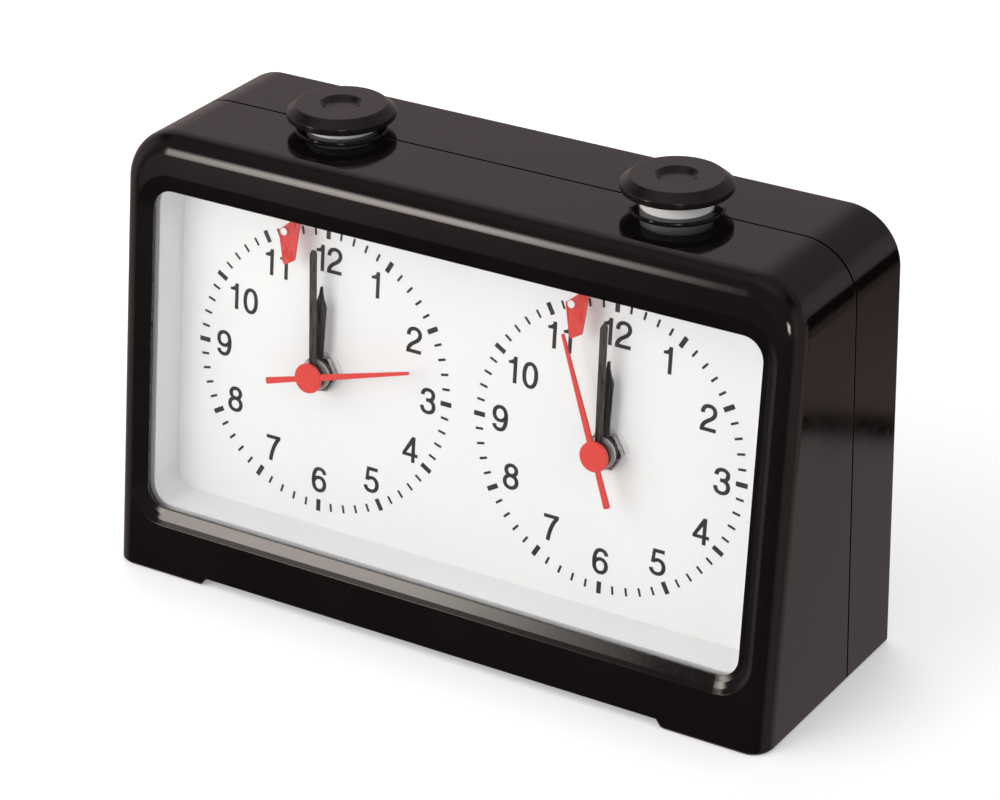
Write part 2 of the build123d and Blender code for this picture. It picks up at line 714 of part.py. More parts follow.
    with BuildPart() as third_wheel:
        with BuildSketch(clock(sx, -15.0, T_AT)):
            Circle(0.4)
        extrude(amount=13.1)
        with BuildSketch(clock(sx, -7.8, T_AT)):
            Polygon(*gear(60, 0.25, 93), align=None)
        extrude(amount=0.7)
        with BuildSketch(clock(sx, -6.1, T_AT)):
            Polygon(*gear(8, 0.2361, 90), align=None)
        extrude(amount=1.0)
    save(third_wheel.part, f"{name}_third_wheel")

    with BuildPart() as minute_wheel:
        with BuildSketch(clock(sx, -5.9)):
            Polygon(*gear(64, 0.2361, 270 + 180 / 64), align=None)
        extrude(amount=0.7)
        with BuildSketch(clock(sx, -5.3)):
            Polygon(*gear(12, 0.25, 90), align=None)
        extrude(amount=1.5)
        with BuildSketch(clock(sx, -4.0)):
            Circle(1.1)
        extrude(amount=8.1)
        with BuildSketch(clock(sx, -6.0)):
            Circle(0.56)
        extrude(amount=11, mode=Mode.SUBTRACT)
    save(minute_wheel.part, f"{name}_minute_wheel")

    with BuildPart() as motion_wheel:
        with BuildSketch(clock(sx, -4.7, M_AT)):
            Polygon(*gear(36, 0.25, 275), align=None)
        extrude(amount=0.8)
        with BuildSketch(clock(sx, -4.0, M_AT)):
            Polygon(*gear(10, 0.24, 270), align=None)
        extrude(amount=1.4)
        with BuildSketch(clock(sx, -5.0, M_AT)):
            Circle(0.56)
        extrude(amount=3, mode=Mode.SUBTRACT)
    save(motion_wheel.part, f"{name}_motion_wheel")

    with BuildPart() as hour_wheel:
        with BuildSketch(clock(sx, -3.5)):
            Polygon(*gear(40, 0.24, 94.5), align=None)
        extrude(amount=0.8)
        with BuildSketch(clock(sx, -3.2)):
            Circle(1.9)
        extrude(amount=5.7)
        with BuildSketch(clock(sx, -4.0)):
            Circle(1.18)
        extrude(amount=8, mode=Mode.SUBTRACT)
    save(hour_wheel.part, f"{name}_hour_wheel")

    with BuildPart() as setting_knob:
        with BuildSketch(clock(sx, -1.9, K_AT)):
            Circle(0.5)
        extrude(amount=-2.2)
        with BuildSketch(clock(sx, -4.9, K_AT)):
            Polygon(*gear(12, 0.25, 270), align=None)
        extrude(amount=1.1)
        with BuildSketch(clock(sx, -4.8, K_AT)):
            Circle(1.1)
        extrude(amount=-26.6)
        with BuildSketch(clock(sx, -31.0, K_AT)):
            Circle(7.8)
            with PolarLocations(7.9, 24):
                Circle(0.42, mode=Mode.SUBTRACT)
        extrude(amount=-3.5)
        with BuildSketch(clock(sx, -33.6, K_AT)):
            with Locations((0, 4.2)):
                Rectangle(1.2, 4.4)
            Circle(1.6)
        extrude(amount=-1.2, mode=Mode.SUBTRACT)
    save(setting_knob.part, f"{name}_setting_knob")

    # ---- hands ----------------------------------------------------------
    def turned(n, degrees):
        """Dial plane of this clock whose y points at the given angle clockwise from twelve."""
        t = math.radians(degrees)
        return Plane(
            origin=clock(sx, n).origin,
            x_dir=Vector(math.cos(t), 0, 0) - U * math.sin(t),
            z_dir=N,
        )

    with BuildPart() as hour_hand:
        with BuildSketch(turned(2.1, hour_angle[name])):
            Circle(3.4)
            Polygon((-1.2, 2.0), (1.2, 2.0), (1.35, 14.3), (0.78, 15.6), (0.4, 16.9),
                    (0.24, hour_len - 0.1), (0.1, hour_len), (-0.1, hour_len), (-0.24, hour_len - 0.1),
                    (-0.4, 16.9), (-0.78, 15.6), (-1.35, 14.3), align=None)
            Circle(1.9, mode=Mode.SUBTRACT)
        extrude(amount=0.4)
        with BuildSketch(clock(sx, 2.5)):
            Circle(3.2)
            Circle(1.9, mode=Mode.SUBTRACT)
        extrude(amount=0.5)
    save(hour_hand.part, f"{name}_hour_hand")

    with BuildPart() as minute_hand:
        with BuildSketch(turned(3.6, minute_angle[name])):
            Circle(2.7)
            Polygon((-0.75, 1.5), (0.75, 1.5), (0.75, minute_len - 0.35), (0.45, minute_len),
                    (-0.3, minute_len), (-0.75, minute_len - 0.9), align=None)
            Circle(1.1, mode=Mode.SUBTRACT)
        extrude(amount=0.4)
        with BuildSketch(clock(sx, 4.0)):
            Circle(2.2)
            Circle(1.1, mode=Mode.SUBTRACT)
        extrude(amount=0.25)
    save(minute_hand.part, f"{name}_minute_hand")

    with BuildPart() as second_hand:
        with BuildSketch(clock(sx, 5.1)):
            Circle(3.05)
        extrude(amount=0.6)
        fillet(second_hand.edges().filter_by(GeomType.CIRCLE).sort_by(Axis.Y)[0], 0.18)
        with BuildSketch(turned(5.15, second_angle[name])):
            Polygon((-0.68, 1.0), (0.68, 1.0), (0.3, second_len - 0.15), (0.15, second_len),
                    (-0.15, second_len), (-0.3, second_len - 0.15), align=None)
            Polygon((-0.5, -1.0), (0.5, -1.0), (0.66, -second_tail + 0.2), (0.5, -second_tail),
                    (-0.5, -second_tail), (-0.66, -second_tail + 0.2), align=None)
        extrude(amount=0.4)
        with BuildSketch(clock(sx, 4.5)):
            Circle(1.1)
            Circle(0.5, mode=Mode.SUBTRACT)
        extrude(amount=0.6)
    save(second_hand.part, f"{name}_second_hand")

    # red flag, hanging from its pin and lifted by the minute hand before twelve
    with BuildPart() as flag:
        with BuildSketch(clock(sx, 4.2, flag_pivot)) as flag_outline:
            Polygon((-1.4, 0.0), (-0.25, -6.3), (0.15, -6.95), (2.55, -5.5), (3.45, 2.2),
                    (1.2, 2.2), align=None)
            fillet(flag_outline.vertices(), 0.18)
            Circle(0.5, mode=Mode.SUBTRACT)
        extrude(amount=0.35)
    save(flag.part, f"{name}_flag")
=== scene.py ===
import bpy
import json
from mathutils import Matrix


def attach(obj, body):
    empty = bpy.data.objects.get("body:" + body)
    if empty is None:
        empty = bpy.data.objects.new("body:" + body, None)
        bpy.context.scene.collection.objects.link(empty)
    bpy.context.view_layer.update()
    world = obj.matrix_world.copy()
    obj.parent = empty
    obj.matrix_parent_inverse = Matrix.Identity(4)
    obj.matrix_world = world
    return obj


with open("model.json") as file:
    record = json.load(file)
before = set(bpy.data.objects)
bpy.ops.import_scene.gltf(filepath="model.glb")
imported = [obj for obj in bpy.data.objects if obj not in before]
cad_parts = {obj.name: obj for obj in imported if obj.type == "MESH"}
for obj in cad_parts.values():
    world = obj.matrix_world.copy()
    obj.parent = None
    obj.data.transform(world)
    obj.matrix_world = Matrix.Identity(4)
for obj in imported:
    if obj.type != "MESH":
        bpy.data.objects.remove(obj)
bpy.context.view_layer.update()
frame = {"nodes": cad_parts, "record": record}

import json
import math

import bmesh
import bpy
from mathutils import Matrix, Vector

scene = bpy.context.scene
nodes = frame["nodes"]

# ---------------------------------------------------------------------------
# Frame of the dials: x to the right, w up the dial, n out towards the player
# ---------------------------------------------------------------------------
LEAN = math.radians(6.4)
DIAL = Vector((0.0, -0.0106, 0.0474))
N = Vector((0.0, -math.cos(LEAN), math.sin(LEAN)))
U = Vector((0.0, math.sin(LEAN), math.cos(LEAN)))
X = Vector((1.0, 0.0, 0.0))
CLOCKS = (("left", -32.6), ("right", 32.6))


def on_dial(x, w, n=0.0):
    """A point given in millimetres on the dials' frame, as metres in the object's frame."""
    return DIAL + X * (x / 1000) + U * (w / 1000) + N * (n / 1000)


# ---------------------------------------------------------------------------
# Camera
# ---------------------------------------------------------------------------
cam_data = bpy.data.cameras.new("camera")
cam_data.sensor_fit = "HORIZONTAL"
cam_data.sensor_width = 36.0
cam_data.lens = 133.06
cam_data.clip_start = 0.01
cam_data.clip_end = 50.0
cam = bpy.data.objects.new("camera", cam_data)
scene.collection.objects.link(cam)
eye = Vector((0.34506, -0.55026, 0.36728))
aim = Vector((0.008526, -0.010605, 0.051526))
look = (aim - eye).to_track_quat("-Z", "Y").to_matrix().to_4x4()
cam.matrix_world = Matrix.Translation(eye) @ look @ Matrix.Rotation(math.radians(-0.376), 4, "Z")
scene.camera = cam

# ---------------------------------------------------------------------------
# Material helpers
# ---------------------------------------------------------------------------
MM = 1000.0   # a texture scale of s * MM has features 1 / s mm apart


class Mat:
    """A Principled material built up from procedural layers in object space."""

    def __init__(self, name, rough=0.4, metallic=0.0, ior=1.5):
        self.m = bpy.data.materials.new(name)
        self.m.use_nodes = True
        self.nt = self.m.node_tree
        self.nt.nodes.clear()
        self.out = self.nt.nodes.new("ShaderNodeOutputMaterial")
        self.p = self.nt.nodes.new("ShaderNodeBsdfPrincipled")
        self.nt.links.new(self.p.outputs[0], self.out.inputs[0])
        self.p.inputs["Roughness"].default_value = rough
        self.p.inputs["Metallic"].default_value = metallic
        self.p.inputs["IOR"].default_value = ior
        self.coord = self.nt.nodes.new("ShaderNodeTexCoord").outputs["Object"]
        self.normal = None

    def link(self, a, b):
        self.nt.links.new(a, b)

    def node(self, kind, **props):
        n = self.nt.nodes.new(kind)
        for k, v in props.items():
            setattr(n, k, v)
        return n

    def noise(self, per_mm, detail=3.0, rough=0.55, stretch=(1, 1, 1), offset=(0, 0, 0), distortion=0.0):
        m = self.node("ShaderNodeMapping")
        m.inputs["Scale"].default_value = [s * per_mm * MM for s in stretch]
        m.inputs["Location"].default_value = offset
        t = self.node("ShaderNodeTexNoise")
        t.inputs["Scale"].default_value = 1.0
        t.inputs["Detail"].default_value = detail
        t.inputs["Roughness"].default_value = rough
        t.inputs["Distortion"].default_value = distortion
        self.link(self.coord, m.inputs["Vector"])
        self.link(m.outputs[0], t.inputs["Vector"])
        return t.outputs["Fac"]

    def voronoi(self, per_mm, feature="F1", offset=(0, 0, 0), randomness=1.0):
        m = self.node("ShaderNodeMapping")
        m.inputs["Scale"].default_value = [per_mm * MM] * 3
        m.inputs["Location"].default_value = offset
        t = self.node("ShaderNodeTexVoronoi", feature=feature)
        t.inputs["Scale"].default_value = 1.0
        t.inputs["Randomness"].default_value = randomness
        self.link(self.coord, m.inputs["Vector"])
        self.link(m.outputs[0], t.inputs["Vector"])
        return t.outputs["Distance"]

    def remap(self, fac, lo, hi, to_lo=0.0, to_hi=1.0, smooth=False):
        r = self.node("ShaderNodeMapRange")
        r.interpolation_type = "SMOOTHSTEP" if smooth else "LINEAR"
        r.inputs["From Min"].default_value = lo
        r.inputs["From Max"].default_value = hi
        r.inputs["To Min"].default_value = to_lo
        r.inputs["To Max"].default_value = to_hi
        self.link(fac, r.inputs["Value"])
        return r.outputs["Result"]

    def math(self, op, a, b):
        n = self.node("ShaderNodeMath", operation=op)
        for i, v in enumerate((a, b)):
            if isinstance(v, (int, float)):
                n.inputs[i].default_value = v
            else:
                self.link(v, n.inputs[i])
        return n.outputs[0]

    def mix(self, fac, a, b):
        n = self.node("ShaderNodeMix", data_type="RGBA")
        if isinstance(fac, (int, float)):
            n.inputs["Factor"].default_value = fac
        else:
            self.link(fac, n.inputs["Factor"])
        for i, v in ((6, a), (7, b)):
            if isinstance(v, tuple):
                n.inputs[i].default_value = (*v[:3], 1.0)
            else:
                self.link(v, n.inputs[i])
        return n.outputs[2]

    def colour(self, c):
        if isinstance(c, tuple):
            self.p.inputs["Base Color"].default_value = (*c[:3], 1.0)
        else:
            self.link(c, self.p.inputs["Base Color"])
        return self

    def along(self, direction, start, origin=(0, 0, 0)):
        """How far a point lies along a direction from origin, less start."""
        sub = self.node("ShaderNodeVectorMath", operation="SUBTRACT")
        sub.inputs[1].default_value = origin
        self.link(self.coord, sub.inputs[0])
        dot = self.node("ShaderNodeVectorMath", operation="DOT_PRODUCT")
        dot.inputs[1].default_value = direction
        self.link(sub.outputs[0], dot.inputs[0])
        return self.math("SUBTRACT", dot.outputs["Value"], start)

    def rough(self, fac, lo, hi, to_lo, to_hi):
        self.link(self.remap(fac, lo, hi, to_lo, to_hi), self.p.inputs["Roughness"])
        return self

    def round_edges(self, radius_mm, samples=6):
        b = self.node("ShaderNodeBevel", samples=samples)
        b.inputs["Radius"].default_value = radius_mm / 1000
        self.normal = b.outputs[0]
        self.link(self.normal, self.p.inputs["Normal"])
        return self

    def edge(self, radius_mm, samples=6):
        """1 along convex and concave edges, 0 on the flats: where the bevelled normal leaves the true one."""
        b = self.node("ShaderNodeBevel", samples=samples)
        b.inputs["Radius"].default_value = radius_mm / 1000
        g = self.node("ShaderNodeNewGeometry")
        d = self.node("ShaderNodeVectorMath", operation="DOT_PRODUCT")
        self.link(b.outputs[0], d.inputs[0])
        self.link(g.outputs["Normal"], d.inputs[1])
        return self.remap(d.outputs["Value"], 1.0, 0.82, 0.0, 1.0)

    def bump(self, height, distance_mm, strength=1.0):
        b = self.node("ShaderNodeBump")
        b.inputs["Strength"].default_value = strength
        b.inputs["Distance"].default_value = distance_mm / 1000
        self.link(height, b.inputs["Height"])
        if self.normal is not None:
            self.link(self.normal, b.inputs["Normal"])
        self.normal = b.outputs[0]
        self.link(self.normal, self.p.inputs["Normal"])
        return self


M = {}
# the parting line of the case: y = SEAM_Y - SEAM_LEAN * z
SEAM_Y, SEAM_LEAN = 0.0084, 2.8 / 92.6
MM_TO_M = 0.001

# Glossy black moulded plastic of the case: faint moulding ripple, fine dust and
# handling haze in the gloss, edges rubbed a little lighter, and painted shade in the parting groove.
m = Mat("case_black", ior=1.5)
haze = m.noise(0.035, 4.0, 0.6)
fine = m.noise(0.9, 3.0, 0.6, offset=(3, 1, 7))
# painted shade in the parting groove: near-black colour, rough gloss and a dark specular tint stand in for the shade
# inside the seam
groove = m.math("ABSOLUTE", m.along((0, 1, SEAM_LEAN), SEAM_Y), 0.0)
groove = m.remap(groove, 0.00029, 0.00026)
gloss = m.math("ADD", m.remap(haze, 0.35, 0.7, 0.03, 0.075), m.remap(fine, 0.4, 0.75, 0.0, 0.03))
m.link(m.math("MAXIMUM", gloss, m.math("MULTIPLY", groove, 0.9)), m.p.inputs["Roughness"])
speck = m.remap(m.voronoi(0.55, offset=(5, 2, 9)), 0.045, 0.02)
edge = m.edge(0.35)
base = m.mix(m.remap(haze, 0.3, 0.75), (0.0030, 0.0023, 0.0024), (0.0046, 0.0035, 0.0036))
base = m.mix(m.math("MULTIPLY", edge, m.remap(fine, 0.35, 0.7, 0.1, 0.75)), base, (0.026, 0.022, 0.021))
base = m.mix(m.math("MULTIPLY", speck, m.remap(haze, 0.45, 0.62, 0.0, 0.5)), base, (0.06, 0.055, 0.05))
m.colour(m.mix(groove, base, (0.0008, 0.0007, 0.0007)))
m.link(m.mix(groove, (1, 1, 1), (0.05, 0.05, 0.05)), m.p.inputs["Specular Tint"])
m.round_edges(0.18)
m.bump(m.noise(0.028, 2.0, 0.5, offset=(1, 4, 2)), 0.05, 0.5)
m.bump(m.noise(0.6, 2.0, 0.5), 0.002, 0.5)
M["case_black"] = m.m

# Button caps: the same black in a fine satin grain
m = Mat("cap_black", ior=1.5)
grain = m.noise(3.6, 2.0, 0.6)
worn = m.noise(0.12, 3.0, 0.6, offset=(2, 8, 5))
m.link(
    m.math("ADD", m.remap(worn, 0.35, 0.7, 0.16, 0.24), m.remap(grain, 0.35, 0.7, -0.02, 0.03)),
    m.p.inputs["Roughness"],
)
edge = m.edge(0.4)
base = m.mix(m.remap(grain, 0.35, 0.7), (0.0055, 0.0045, 0.0045), (0.0105, 0.0085, 0.0085))
base = m.mix(m.math("MULTIPLY", edge, m.remap(worn, 0.35, 0.65, 0.15, 0.7)), base, (0.035, 0.031, 0.030))
m.colour(base)
m.round_edges(0.15)
m.bump(grain, 0.006, 0.5)
M["cap_black"] = m.m

m = Mat("collar_black", ior=1.5)
grain = m.noise(3.0, 2.0, 0.6)
m.rough(grain, 0.35, 0.7, 0.32, 0.5)
m.colour(m.mix(grain, (0.006, 0.0055, 0.0055), (0.016, 0.014, 0.014)))
m.bump(grain, 0.01, 0.5)
M["collar_black"] = m.m

for name, lo, hi, per_mm in (("door_black", 0.30, 0.44, 1.6), ("knob_black", 0.26, 0.40, 2.0)):
    m = Mat(name, ior=1.5)
    grain = m.noise(per_mm, 3.0, 0.7)
    m.rough(grain, 0.35, 0.7, lo, hi)
    edge = m.edge(0.35)
    base = m.mix(grain, (0.009, 0.0078, 0.0078), (0.020, 0.018, 0.018))
    m.colour(m.mix(m.math("MULTIPLY", edge, 0.5), base, (0.05, 0.045, 0.043)))
    m.round_edges(0.15)
    m.bump(grain, 0.02, 0.6)
    M[name] = m.m

# White mouldings
for name, c, c2, lo, hi in (
    ("stem_white", (0.88, 0.87, 0.86), (0.93, 0.92, 0.91), 0.26, 0.38),
    ("washer_white", (0.80, 0.80, 0.80), (0.88, 0.88, 0.88), 0.30, 0.45),
    ("rocker_white", (0.66, 0.66, 0.62), (0.76, 0.76, 0.72), 0.35, 0.5),
    ("wheel_plastic", (0.72, 0.72, 0.68), (0.82, 0.82, 0.78), 0.32, 0.48),
    ("plate_clear", (0.60, 0.60, 0.58), (0.70, 0.70, 0.68), 0.32, 0.46),
):
    m = Mat(name, ior=1.47)
    grain = m.noise(0.5, 3.0, 0.6)
    m.rough(grain, 0.3, 0.7, lo, hi)
    m.colour(m.mix(grain, c, c2))
    m.p.inputs["Subsurface Weight"].default_value = 0.08
    m.p.inputs["Subsurface Radius"].default_value = (0.0012, 0.0011, 0.0009)
    m.round_edges(0.08, 4)
    m.bump(m.noise(1.5, 2.0, 0.5), 0.004, 0.4)
    M[name] = m.m

# Dial tray: matt-satin white styrene, a little warmer where it has yellowed
m = Mat("dial_white", ior=1.5)
cloud = m.noise(0.02, 4.0, 0.55)
grain = m.noise(1.8, 3.0, 0.6)
m.rough(grain, 0.3, 0.7, 0.34, 0.46)
base = m.mix(m.remap(cloud, 0.35, 0.7), (0.835, 0.835, 0.84), (0.865, 0.868, 0.865))
m.colour(m.mix(m.remap(m.voronoi(0.32), 0.03, 0.012), base, (0.55, 0.53, 0.5)))
m.round_edges(0.1, 4)
m.bump(grain, 0.004, 0.4)
M["dial_white"] = m.m

# Printing ink
m = Mat("dial_ink", ior=1.5)
grain = m.noise(5.0, 2.0, 0.7)
m.rough(grain, 0.3, 0.7, 0.35, 0.5)
m.colour(m.mix(grain, (0.018, 0.018, 0.019), (0.036, 0.036, 0.037)))
m.bump(grain, 0.002, 0.4)
M["dial_ink"] = m.m

# Hands: black lacquer over stamped metal, brushed along its length under the lacquer; the lighter streaks in the colour
# are partly that brushing and partly a painted sheen
m = Mat("hand_black", ior=1.5)
brush = m.noise(1.2, 3.0, 0.6, stretch=(3.2, 0.6, 0.25))
m.rough(brush, 0.3, 0.7, 0.26, 0.42)
edge = m.edge(0.12, 4)
# lighter streaks: brush grain and a painted sheen together
base = m.mix(m.remap(brush, 0.38, 0.72), (0.012, 0.011, 0.011), (0.085, 0.078, 0.072))
m.colour(m.mix(m.math("MULTIPLY", edge, 0.35), base, (0.16, 0.15, 0.14)))
m.round_edges(0.06, 4)
m.bump(brush, 0.006, 0.5)
M["hand_black"] = m.m

# Hour hands: the same lacquer with the same partly painted sheen in its streaks, and a bright collet standing proud of
# the blade
m = Mat("hour_hand_black", ior=1.5)
brush = m.noise(1.2, 3.0, 0.6, stretch=(3.2, 0.6, 0.25))
collet = m.remap(m.along(N, 0.0, DIAL), 0.00253, 0.00256)
# the same lighter streaks: brush grain and a painted sheen together
base = m.mix(m.remap(brush, 0.38, 0.72), (0.012, 0.011, 0.011), (0.085, 0.078, 0.072))
m.colour(m.mix(collet, base, m.mix(brush, (0.55, 0.55, 0.56), (0.72, 0.72, 0.72))))
m.link(m.math("MULTIPLY", collet, 0.35), m.p.inputs["Metallic"])
m.rough(brush, 0.3, 0.7, 0.26, 0.40)
m.round_edges(0.06, 4)
m.bump(brush, 0.006, 0.5)
M["hour_hand_black"] = m.m

# Red lacquer of the second hands
m = Mat("red", ior=1.5)
brush = m.noise(2.2, 3.0, 0.6)
m.rough(brush, 0.3, 0.7, 0.30, 0.42)
m.colour(m.mix(m.remap(brush, 0.3, 0.7), (0.66, 0.044, 0.036), (0.76, 0.062, 0.050)))
m.round_edges(0.08, 4)
m.bump(brush, 0.004, 0.4)
M["red"] = m.m

# Red flags: thin translucent moulding
m = Mat("flag_red", ior=1.49)
flow = m.noise(0.35, 3.0, 0.6, stretch=(1.6, 1, 0.5))
m.rough(flow, 0.3, 0.7, 0.22, 0.36)
m.colour(m.mix(m.remap(flow, 0.3, 0.7), (0.72, 0.042, 0.034), (0.80, 0.085, 0.075)))
m.p.inputs["Transmission Weight"].default_value = 0.18
m.round_edges(0.08, 4)
m.bump(flow, 0.01, 0.4)
M["flag_red"] = m.m

# Metals
for name, c, c2, lo, hi, stretch in (
    ("nut_metal", (0.36, 0.35, 0.36), (0.62, 0.61, 0.61), 0.18, 0.32, (1, 1, 1)),
    ("screw_steel", (0.42, 0.42, 0.42), (0.60, 0.60, 0.59), 0.22, 0.38, (1, 1, 1)),
    ("pin_steel", (0.52, 0.52, 0.53), (0.66, 0.66, 0.66), 0.15, 0.28, (0.3, 1, 1)),
    ("stator_steel", (0.32, 0.32, 0.33), (0.48, 0.48, 0.48), 0.32, 0.5, (1, 1, 4)),
    ("crystal", (0.66, 0.66, 0.67), (0.78, 0.78, 0.78), 0.14, 0.26, (1, 1, 0.2)),
    ("contact_metal", (0.58, 0.57, 0.54), (0.74, 0.73, 0.70), 0.2, 0.36, (1, 1, 0.3)),
):
    m = Mat(name, metallic=1.0)
    brush = m.noise(1.6, 4.0, 0.6, stretch=stretch)
    m.rough(brush, 0.3, 0.7, lo, hi)
    m.colour(m.mix(m.remap(brush, 0.3, 0.7), c, c2))
    m.round_edges(0.08, 4)
    m.bump(brush, 0.006, 0.4)
    M[name] = m.m

# Movement parts
# Heads of the flag pins: pale turned nylon
m = Mat("pin_bright", ior=1.5)
grain = m.noise(4.0, 2.0, 0.6)
m.rough(grain, 0.3, 0.7, 0.22, 0.36)
m.colour(m.mix(grain, (0.80, 0.78, 0.77), (0.90, 0.89, 0.88)))
m.bump(grain, 0.003, 0.4)
M["pin_bright"] = m.m

m = Mat("movement_black", ior=1.5)
grain = m.noise(1.2, 3.0, 0.6)
m.rough(grain, 0.3, 0.7, 0.35, 0.5)
m.colour(m.mix(grain, (0.02, 0.02, 0.021), (0.036, 0.036, 0.038)))
m.bump(grain, 0.01, 0.5)
M["movement_black"] = m.m

m = Mat("rotor_magnet", ior=1.6)
grain = m.noise(6.0, 3.0, 0.7)
m.rough(grain, 0.3, 0.7, 0.45, 0.62)
m.colour(m.mix(grain, (0.05, 0.047, 0.046), (0.09, 0.085, 0.083)))
m.bump(grain, 0.01, 0.5)
M["rotor_magnet"] = m.m

m = Mat("coil_copper", metallic=1.0)
turns = m.noise(1.0, 1.0, 0.4, stretch=(0.1, 0.6, 6.0))
m.rough(turns, 0.3, 0.7, 0.22, 0.4)
m.colour(m.mix(m.remap(turns, 0.3, 0.7), (0.45, 0.15, 0.06), (0.80, 0.36, 0.18)))
m.bump(turns, 0.05, 0.8)
M["coil_copper"] = m.m

m = Mat("board", ior=1.5)
weave = m.noise(1.5, 3.0, 0.6, stretch=(1, 1, 3))
m.rough(weave, 0.3, 0.7, 0.28, 0.42)
m.colour(m.mix(weave, (0.012, 0.10, 0.035), (0.025, 0.17, 0.06)))
m.bump(weave, 0.01, 0.4)
M["board"] = m.m

m = Mat("chip", ior=1.5)
grain = m.noise(1.5, 3.0, 0.6)
m.rough(grain, 0.3, 0.7, 0.25, 0.42)
m.colour(m.mix(grain, (0.008, 0.008, 0.008), (0.016, 0.016, 0.016)))
m.bump(grain, 0.02, 0.5)
M["chip"] = m.m

# AA cell: dark printed wrap, bare bright end towards the nub
m = Mat("battery_wrap", ior=1.5)
grain = m.noise(0.8, 3.0, 0.6)
sep = m.node("ShaderNodeSeparateXYZ")
m.link(m.coord, sep.inputs[0])
band = m.remap(sep.outputs["X"], 0.0105, 0.0107)
end = m.remap(sep.outputs["X"], 0.0243, 0.0245)
body = m.mix(band, (0.035, 0.036, 0.04), (0.50, 0.26, 0.09))
m.colour(m.mix(end, m.mix(m.remap(grain, 0.3, 0.7, 0.0, 0.15), body, (0.2, 0.2, 0.2)), (0.62, 0.62, 0.62)))
m.link(end, m.p.inputs["Metallic"])
m.rough(grain, 0.3, 0.7, 0.2, 0.34)
M["battery_wrap"] = m.m

# Clear window: what is behind shows straight through, the surface mirrors its surroundings
m = Mat("window", ior=1.49)
nt = m.nt
glossy = m.node("ShaderNodeBsdfGlossy")
smear = m.noise(0.03, 4.0, 0.6)
m.link(m.remap(smear, 0.35, 0.7, 0.02, 0.09), glossy.inputs["Roughness"])
glossy.inputs["Color"].default_value = (1, 1, 1, 1)
clear = m.node("ShaderNodeBsdfTransparent")
clear.inputs["Color"].default_value = (0.985, 0.988, 0.988, 1)
facing = m.node("ShaderNodeLayerWeight")
facing.inputs["Blend"].default_value = 0.5
schlick = m.math("ADD", m.math("MULTIPLY", m.math("POWER", facing.outputs["Facing"], 5.0), 0.96), 0.04)
mixer = m.node("ShaderNodeMixShader")
m.link(schlick, mixer.inputs[0])
m.link(clear.outputs[0], mixer.inputs[1])
m.link(glossy.outputs[0], mixer.inputs[2])
m.link(mixer.outputs[0], m.out.inputs[0])
nt.nodes.remove(m.p)
M["window"] = m.m

slots = {s["node"]: s["material_slot"] for s in frame["record"]["subparts"]}
for name, obj in nodes.items():
    mat = M["hour_hand_black"] if name.endswith("hour_hand") else M[slots[name]]
    mat = M["pin_bright"] if name == "flag_pins" else mat
    if not obj.material_slots:
        obj.data.materials.append(mat)
    for s in obj.material_slots:
        s.material = mat

# ---------------------------------------------------------------------------
# Printed dials: minute marks and numerals, as thin layers of ink on the tray
# ---------------------------------------------------------------------------
PEN_V, PEN_H, DIGIT_H, DIGIT_W = 0.87, 0.75, 5.42, 3.52
INK = 0.02


def bezier(p0, p1, p2, p3, steps=14):
    out = []
    for i in range(1, steps + 1):
        t = i / steps
        s = 1 - t
        out.append(tuple(s**3 * a + 3 * s * s * t * b + 3 * s * t * t * c + t**3 * d
                         for a, b, c, d in zip(p0, p1, p2, p3)))
    return out


def path(start, *parts):
    """Points along straight and curved parts: a pair of numbers ends a straight run, three points make a curve."""
    pts = [start]
    for part in parts:
        if isinstance(part[0], (int, float)):
            pts.append(part)
        else:
            pts += bezier(pts[-1], *part)
    return pts


def ring(cx, cy, rx, ry, power=2.0, steps=48):
    pts = []
    for i in range(steps):
        a = 2 * math.pi * i / steps
        c, s = math.cos(a), math.sin(a)
        pts.append((cx + rx * math.copysign(abs(c) ** (2 / power), c),
                    cy + ry * math.copysign(abs(s) ** (2 / power), s)))
    return pts


def stroke(pts, closed=False, pv=PEN_V, ph=PEN_H):
    """Both sides of a ribbon along pts, drawn with a pen that is pv wide across and ph high."""
    n = len(pts)
    left, right = [], []
    for i, (x, y) in enumerate(pts):
        a = pts[(i - 1) % n] if closed or i else pts[i]
        b = pts[(i + 1) % n] if closed or i < n - 1 else pts[i]
        tx, ty = b[0] - a[0], b[1] - a[1]
        k = math.hypot(tx, ty) or 1.0
        nx, ny = -ty / k, tx / k
        left.append((x + nx * pv / 2, y + ny * ph / 2))
        right.append((x - nx * pv / 2, y - ny * ph / 2))
    return left, right, closed


def bar(a, b, c, d):
    """A straight stroke with the corners a, b, c, d in turn."""
    return [a, d], [b, c], False


def flip(strokes):
    """The same shape turned half round about the middle of a digit."""
    return [([(DIGIT_W - x, DIGIT_H - y) for x, y in left], [(DIGIT_W - x, DIGIT_H - y) for x, y in right], closed)
            for left, right, closed in strokes]


